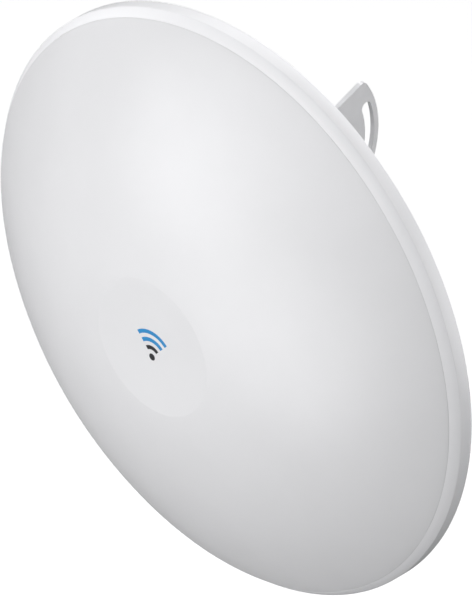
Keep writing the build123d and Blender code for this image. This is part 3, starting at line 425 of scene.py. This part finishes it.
carry(dress(build_radome(), "radome_white"), "antenna", "radome_white", "radome")
carry(dress(build_ring(), "ring_white"), "antenna", "ring_white", "retaining_ring")
carry(dress(build_reflector(), "reflector_paint"), "antenna", "reflector_paint", "reflector")

for plate in ("dish_bracket", "pole_bracket"):
    soften(plate, 0.6 * MM, 3)
for casting in ("fixed_jaw", "moving_jaw"):
    soften(casting, 0.7 * MM, 3)
for moulding in ("housing_base", "rear_cover", "port_door", "door_latch"):
    soften(moulding, 0.35 * MM)
for washer in ("hub_washers", "ground_washer", "pivot_washers", "lock_washers"):
    soften(washer, 0.2 * MM)
for trim in ("rim_screws", "cover_screws", "ground_screw", "feed_screws", "breather_vent", "cable_grommet"):
    soften(trim, 0.12 * MM)

# ------------------------------------------------------------------ fasteners with real threads

SIDES = 96
THREAD_STEPS = 8


def hex_radius(across, angle):
    """Distance from the axis to the side of a hexagon, at an angle."""
    off = angle % (math.pi / 3) - math.pi / 6
    return across / 2 / math.cos(off)


def round_level(radius, height):
    """A round level of a skin."""
    return height, lambda angle: radius


def hex_level(across, limit, height):
    """A level of a hexagon whose corners are turned down to a limiting radius."""
    return height, lambda angle: min(hex_radius(across, angle), limit)


def hex_levels(across, low, high, low_chamfer, high_chamfer, steps=6):
    """Levels up a hexagonal head or nut, with turned corners at the chosen ends."""
    corner = across / 2 / math.cos(math.pi / 6)
    face = across / 2 * 0.96
    drop = (corner - face) * math.tan(math.radians(30))
    levels = []
    for k in range(steps + 1):
        part = k / steps
        if low_chamfer:
            levels.append(hex_level(across, face + (corner - face) * part, low + drop * part))
    if not low_chamfer:
        levels.append(hex_level(across, corner, low))
    for k in range(steps + 1):
        part = k / steps
        if high_chamfer:
            levels.append(hex_level(across, corner - (corner - face) * part, high - drop * (1 - part)))
    if not high_chamfer:
        levels.append(hex_level(across, corner, high))
    return levels


def thread_levels(radius, pitch, low, high):
    """Levels along a screw thread; its crest and root follow a helix and fade out at both ends."""
    depth = 0.6 * pitch
    count = max(4, int(THREAD_STEPS * (high - low) / pitch))
    levels = []
    for k in range(count + 1):
        height = low + (high - low) * k / count
        strength = min(1, (height - low) / pitch, (high - height) / pitch)

        def reach(angle, height=height, strength=strength):
            wave = abs((height / pitch - angle / (2 * math.pi)) % 1 - 0.5) * 2
            return radius - depth * strength * min(1, max(0, wave * 1.25 - 0.125))

        levels.append((height, reach))
    return levels


def skin(levels, hollow=False):
    """Vertices and faces of a closed skin over levels along Z; a hollow one joins its last to its first."""
    vertices, faces = [], []
    for height, reach in levels:
        for j in range(SIDES):
            angle = 2 * math.pi * j / SIDES
            r = reach(angle)
            vertices.append(Vector((r * math.cos(angle), r * math.sin(angle), height)))
    count = len(levels)
    for i in range(count if hollow else count - 1):
        a, b = i * SIDES, (i + 1) % count * SIDES
        for j in range(SIDES):
            k = (j + 1) % SIDES
            faces.append((a + j, a + k, b + k, b + j))
    if not hollow:
        faces.append(tuple(reversed(range(SIDES))))
        faces.append(tuple(range((count - 1) * SIDES, count * SIDES)))
    return vertices, faces


def place(name, parts, spots, turn, body, node):
    """One object from the same skins at several spots, turned so that Z points along the fastener."""
    vertices, faces = [], []
    for spot in spots:
        for part_vertices, part_faces in parts:
            base = len(vertices)
            vertices += [turn @ v + spot for v in part_vertices]
            faces += [tuple(base + i for i in face) for face in part_faces]
    item = make_object(name, vertices, faces, 28)
    return carry(dress(item, "zinc"), body, "zinc", node)


def dome_levels(radius, height, steps=8):
    """Levels of a domed head from its low crown to its full width."""
    levels = []
    for k in range(1, steps + 1):
        a = math.pi / 2 * k / steps
        levels.append(round_level(radius * math.sin(a), height * (1 - math.cos(a))))
    return levels


TO_Y = Matrix.Rotation(math.radians(-90), 3, "X")
TO_MINUS_X = Matrix.Rotation(math.radians(-90), 3, "Y")
M8_R, M8_PITCH, M8_ACROSS = 4 * MM, 1.25 * MM, 13 * MM
M10_R, M10_PITCH, M10_ACROSS = 5 * MM, 1.5 * MM, 17 * MM


def corner_spots(node, half_x, half_z):
    """Spots of four fasteners at the corners of a node, at its low Y."""
    low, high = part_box(node)
    across, up = (low.x + half_x, high.x - half_x), (low.z + half_z, high.z - half_z)
    return [Vector((x, low.y, z)) for x in across for z in up]


def centre_spot(node):
    """The spot of a fastener along X, at its high X."""
    low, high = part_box(node)
    return [Vector((high.x, (low.y + high.y) / 2, (low.z + high.z) / 2))]


def threaded_end(radius, pitch, start, thread_from, end):
    """A plain shank, then its thread and a turned tip."""
    root = radius - 0.6 * pitch
    levels = [round_level(radius, start), round_level(radius, thread_from)]
    levels += thread_levels(radius, pitch, thread_from + 0.01 * MM, end - 0.6 * pitch)
    return levels + [round_level(root, end)]


def build_carriage_bolts(name, node, body, head_r, crown, thread_length):
    """Domed heads, plain shanks and threaded ends along Y."""
    low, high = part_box(node)
    length = high.y - low.y
    seat = crown + 0.5 * MM
    levels = dome_levels(head_r, crown) + [round_level(head_r, seat)]
    levels += threaded_end(M8_R, M8_PITCH, seat, length - thread_length, length)
    return place(name, [skin(levels)], corner_spots(node, head_r, head_r), TO_Y, body, node)


def build_hex_nuts(name, node, body, spots, turn, sizes, flange_r=0.0):
    """Hexagon nuts with turned corners, a countersunk bore and a flange if asked."""
    across, bore, height = sizes
    flange = 1.8 * MM if flange_r else 0.0
    sink_depth, sink_r = 0.6 * MM, bore + 0.5 * MM
    levels = [round_level(bore, sink_depth), round_level(sink_r, 0)]
    if flange_r:
        levels += [round_level(flange_r - 0.3 * MM, 0), round_level(flange_r, 0.3 * MM)]
        levels += [round_level(flange_r, 1.1 * MM), round_level(across / 2 * 0.97, flange)]
    levels += hex_levels(across, flange, height, not flange_r, True)
    levels += [round_level(sink_r, height), round_level(bore, height - sink_depth)]
    return place(name, [skin(levels, hollow=True)], spots, turn, body, node)


def build_hex_bolt(name, node, body):
    """Hexagon head at the high X end, thread at the low X end."""
    low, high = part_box(node)
    length, head = high.x - low.x, 6.4 * MM
    levels = hex_levels(M10_ACROSS, 0, head, True, False)
    levels += [round_level(M10_R, head)]
    levels += threaded_end(M10_R, M10_PITCH, head + 0.1 * MM, head + 3 * MM, length)
    return place(name, [skin(levels)], centre_spot(node), TO_MINUS_X, body, node)


def build_fasteners():
    """Every bolt and nut that has a real thread or turned corners."""
    m8_nut = (M8_ACROSS, M8_R + 0.06 * MM, 6.5 * MM)
    m8_flange_nut = (M8_ACROSS, M8_R + 0.06 * MM, 8 * MM)
    m10_nut = (M10_ACROSS, M10_R + 0.03 * MM, 8.4 * MM)
    flange_r, corner = 8.7 * MM, M8_ACROSS / 2 / math.cos(math.pi / 6)
    build_carriage_bolts("clamp_bolt_set", "clamp_bolts", "pole_mount", 9 * MM, 3.9 * MM, 45 * MM)
    build_carriage_bolts("hub_bolt_set", "hub_bolts", "antenna", 8.5 * MM, 3.4 * MM, 14 * MM)
    spots = corner_spots("clamp_nuts", flange_r, flange_r)
    build_hex_nuts("clamp_nut_set", "clamp_nuts", "clamp_jaw", spots, TO_Y, m8_flange_nut, flange_r)
    spots = corner_spots("hub_nuts", corner, M8_ACROSS / 2)
    build_hex_nuts("hub_nut_set", "hub_nuts", "antenna", spots, TO_Y, m8_nut)
    for which in ("pivot", "lock"):
        build_hex_bolt(f"{which}_screw", f"{which}_bolt", "pole_mount")
        nut = f"{which}_nut"
        build_hex_nuts(f"{which}_hex", nut, "pole_mount", centre_spot(nut), TO_MINUS_X, m10_nut)


build_fasteners()

# ------------------------------------------------------------------ generic mark on the flat centre


def arc_band(inner, outer, first, last, steps=20):
    """Outline of a curved band in the disc's own plane."""
    angles = [first + (last - first) * i / steps for i in range(steps + 1)]
    points = [(outer * math.cos(a), outer * math.sin(a)) for a in angles]
    return points + [(inner * math.cos(a), inner * math.sin(a)) for a in reversed(angles)]


def printed(name, outline, centre_z):
    """A thin print on the flat centre, its face level with the front of the object."""
    front_y, back_y = DISH.y + APEX_Y, DISH.y + APEX_Y + 2 * PRINT
    count = len(outline)
    vertices = [(DISH.x + x, front_y, DISH.z + centre_z + z) for x, z in outline]
    vertices += [(v[0], back_y, v[2]) for v in vertices]
    faces = [tuple(range(count)), tuple(range(2 * count - 1, count - 1, -1))]
    faces += [(i, (i + 1) % count, count + (i + 1) % count, count + i) for i in range(count)]
    return make_object(name, vertices, faces)


MATERIALS["mark_dark"] = plastic("mark_ink_dark", (0.012, 0.012, 0.014), 0.42, 1800)
MATERIALS["mark_blue"] = plastic("mark_ink_blue", (0.02, 0.23, 0.50), 0.42, 1800)
MARK_Z = -12 * MM
spread = math.radians(42)
marks = [("mark_dot", arc_band(0.01 * MM, 4.0 * MM, 0, 2 * math.pi * 0.999, 40), "mark_dark")]
for i, ink in enumerate(("mark_dark", "mark_blue", "mark_blue")):
    r = (11 + 9 * i) * MM
    band = arc_band(r - 2.3 * MM, r + 2.3 * MM, math.pi / 2 - spread, math.pi / 2 + spread)
    marks.append((f"mark_arc_{i}", band, ink))
for name, outline, ink in marks:
    mark = printed(name, outline, MARK_Z)
    dress(mark, ink)
    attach(mark, "antenna")

# ------------------------------------------------------------------ floor, light and camera

LIGHT_SIZE, LIGHT_DISTANCE, LIGHT_COLOR = 2.2, 3.0, (0.985, 0.985, 1.0)
GLOW, WHITE = 0.065, 1.05
LIGHTS = (  # name, azimuth, elevation, power
    ("key", -30, 10, 45),
    ("front_low", 0, -20, 45),
    ("front_high", 0, 30, 22),
    ("top", 0, 65, 12),
    ("right", 90, 45, 24),
    ("left", -90, 20, 15),
    ("under", 45, -55, 5),
    ("back_right", 135, 0, 38),
    ("back_high", 180, 30, 45),
    ("back_left", -135, 45, 30),
)


def floor():
    """A pale floor far below, seen by the camera and lighting nothing."""
    size, drop = 60, 2.6
    mesh = bpy.data.meshes.new("floor")
    corners = [(-size, -size, 0), (size, -size, 0), (size, size, 0), (-size, size, 0)]
    mesh.from_pydata(corners, [], [(0, 1, 2, 3)])
    item = bpy.data.objects.new("floor", mesh)
    item.location.z = DISH.z - drop
    bpy.context.scene.collection.objects.link(item)
    paper = shader("floor_paper", (0.9, 0.9, 0.9), 0.9)
    principled = paper.node_tree.nodes["Principled BSDF"]
    principled.inputs["Emission Color"].default_value = (1, 1, 1, 1)
    principled.inputs["Emission Strength"].default_value = 0.75
    mesh.materials.append(paper)
    item.visible_diffuse = False
    item.visible_glossy = False
    item.visible_transmission = False


def direction(azimuth, elevation):
    """Unit vector from the dish; azimuth 0 is straight ahead of it, and positive to its +X side."""
    a, e = math.radians(azimuth), math.radians(elevation)
    return Vector((math.sin(a) * math.cos(e), -math.cos(a) * math.cos(e), math.sin(e)))


def softbox(name, azimuth, elevation, power):
    """A round area light that faces the dish."""
    data = bpy.data.lights.new(name, "AREA")
    data.shape = "DISK"
    data.size = LIGHT_SIZE
    data.energy = power
    data.color = LIGHT_COLOR
    lamp = bpy.data.objects.new(name, data)
    way = direction(azimuth, elevation)
    lamp.location = DISH + way * LIGHT_DISTANCE
    lamp.rotation_mode = "QUATERNION"
    lamp.rotation_quaternion = way.to_track_quat("Z", "Y")
    bpy.context.scene.collection.objects.link(lamp)


def studio_world():
    """White to the camera, a dimmer even glow as light."""
    world = bpy.data.worlds.new("studio")
    bpy.context.scene.world = world
    world.use_nodes = True
    nodes, links = world.node_tree.nodes, world.node_tree.links
    glow = nodes["Background"]
    glow.inputs["Color"].default_value = (0.97, 0.98, 1.0, 1)
    glow.inputs["Strength"].default_value = GLOW
    white = nodes.new("ShaderNodeBackground")
    white.inputs["Strength"].default_value = WHITE
    path = nodes.new("ShaderNodeLightPath")
    mix = nodes.new("ShaderNodeMixShader")
    links.new(path.outputs["Is Camera Ray"], mix.inputs["Fac"])
    links.new(glow.outputs["Background"], mix.inputs[1])
    links.new(white.outputs["Background"], mix.inputs[2])
    links.new(mix.outputs["Shader"], nodes["World Output"].inputs["Surface"])


def camera():
    """A very long lens at the isometric corner view."""
    azimuth, elevation, distance = 44.63, 35.17, 21.0
    aim_right, aim_up, field = 13.3 * MM, 6.0 * MM, 603.7 * MM
    back = direction(azimuth, elevation)
    right = Vector((math.cos(math.radians(azimuth)), math.sin(math.radians(azimuth)), 0))
    up = back.cross(right)
    data = bpy.data.cameras.new("camera")
    sensor = 36
    data.sensor_width = sensor
    data.lens = sensor * distance / field
    data.clip_start, data.clip_end = 1, 60
    item = bpy.data.objects.new("camera", data)
    item.location = DISH + right * aim_right + up * aim_up + back * distance
    item.rotation_mode = "QUATERNION"
    item.rotation_quaternion = back.to_track_quat("Z", "Y")
    bpy.context.scene.collection.objects.link(item)
    bpy.context.scene.camera = item


floor()
studio_world()
for light in LIGHTS:
    softbox(*light)
camera()
bpy.context.scene.view_settings.view_transform = "Standard"
